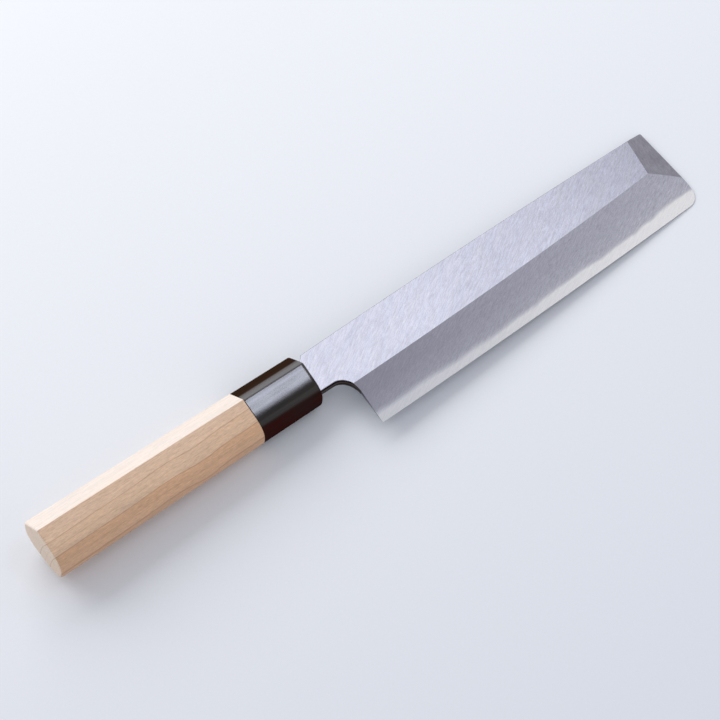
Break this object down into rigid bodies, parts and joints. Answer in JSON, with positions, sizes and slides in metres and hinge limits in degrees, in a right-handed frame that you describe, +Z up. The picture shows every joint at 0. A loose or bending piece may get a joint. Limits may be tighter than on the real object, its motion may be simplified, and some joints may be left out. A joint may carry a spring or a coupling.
{
  "type": "usuba knife",
  "caption": "Japanese vegetable knife with a square-ended single-bevel laminated blade, a dark horn ferrule and a pale ridged wooden handle.",
  "frame": {"origin": "on the table under the middle of the knife's bounding box, with the knife lying on its back face", "axes": "+X towards the blade's tip, +Y towards the spine, +Z up, out of the ground front of the blade"},
  "size_m": [0.3192, 0.0474, 0.0256],
  "materials": {
    "wood": "bare, finely sanded magnolia wood with faint growth lines",
    "horn": "polished dark buffalo horn",
    "soft_iron": "brushed flat with a matt stone-ground bevel",
    "hard_steel": "bright polished edge strip and back"
  },
  "bodies": {
    "root": {"handle_wood": "wood", "ferrule_horn": "horn", "blade_soft_iron": "soft_iron", "blade_hard_steel": "hard_steel"}
  },
  "joints": []
}
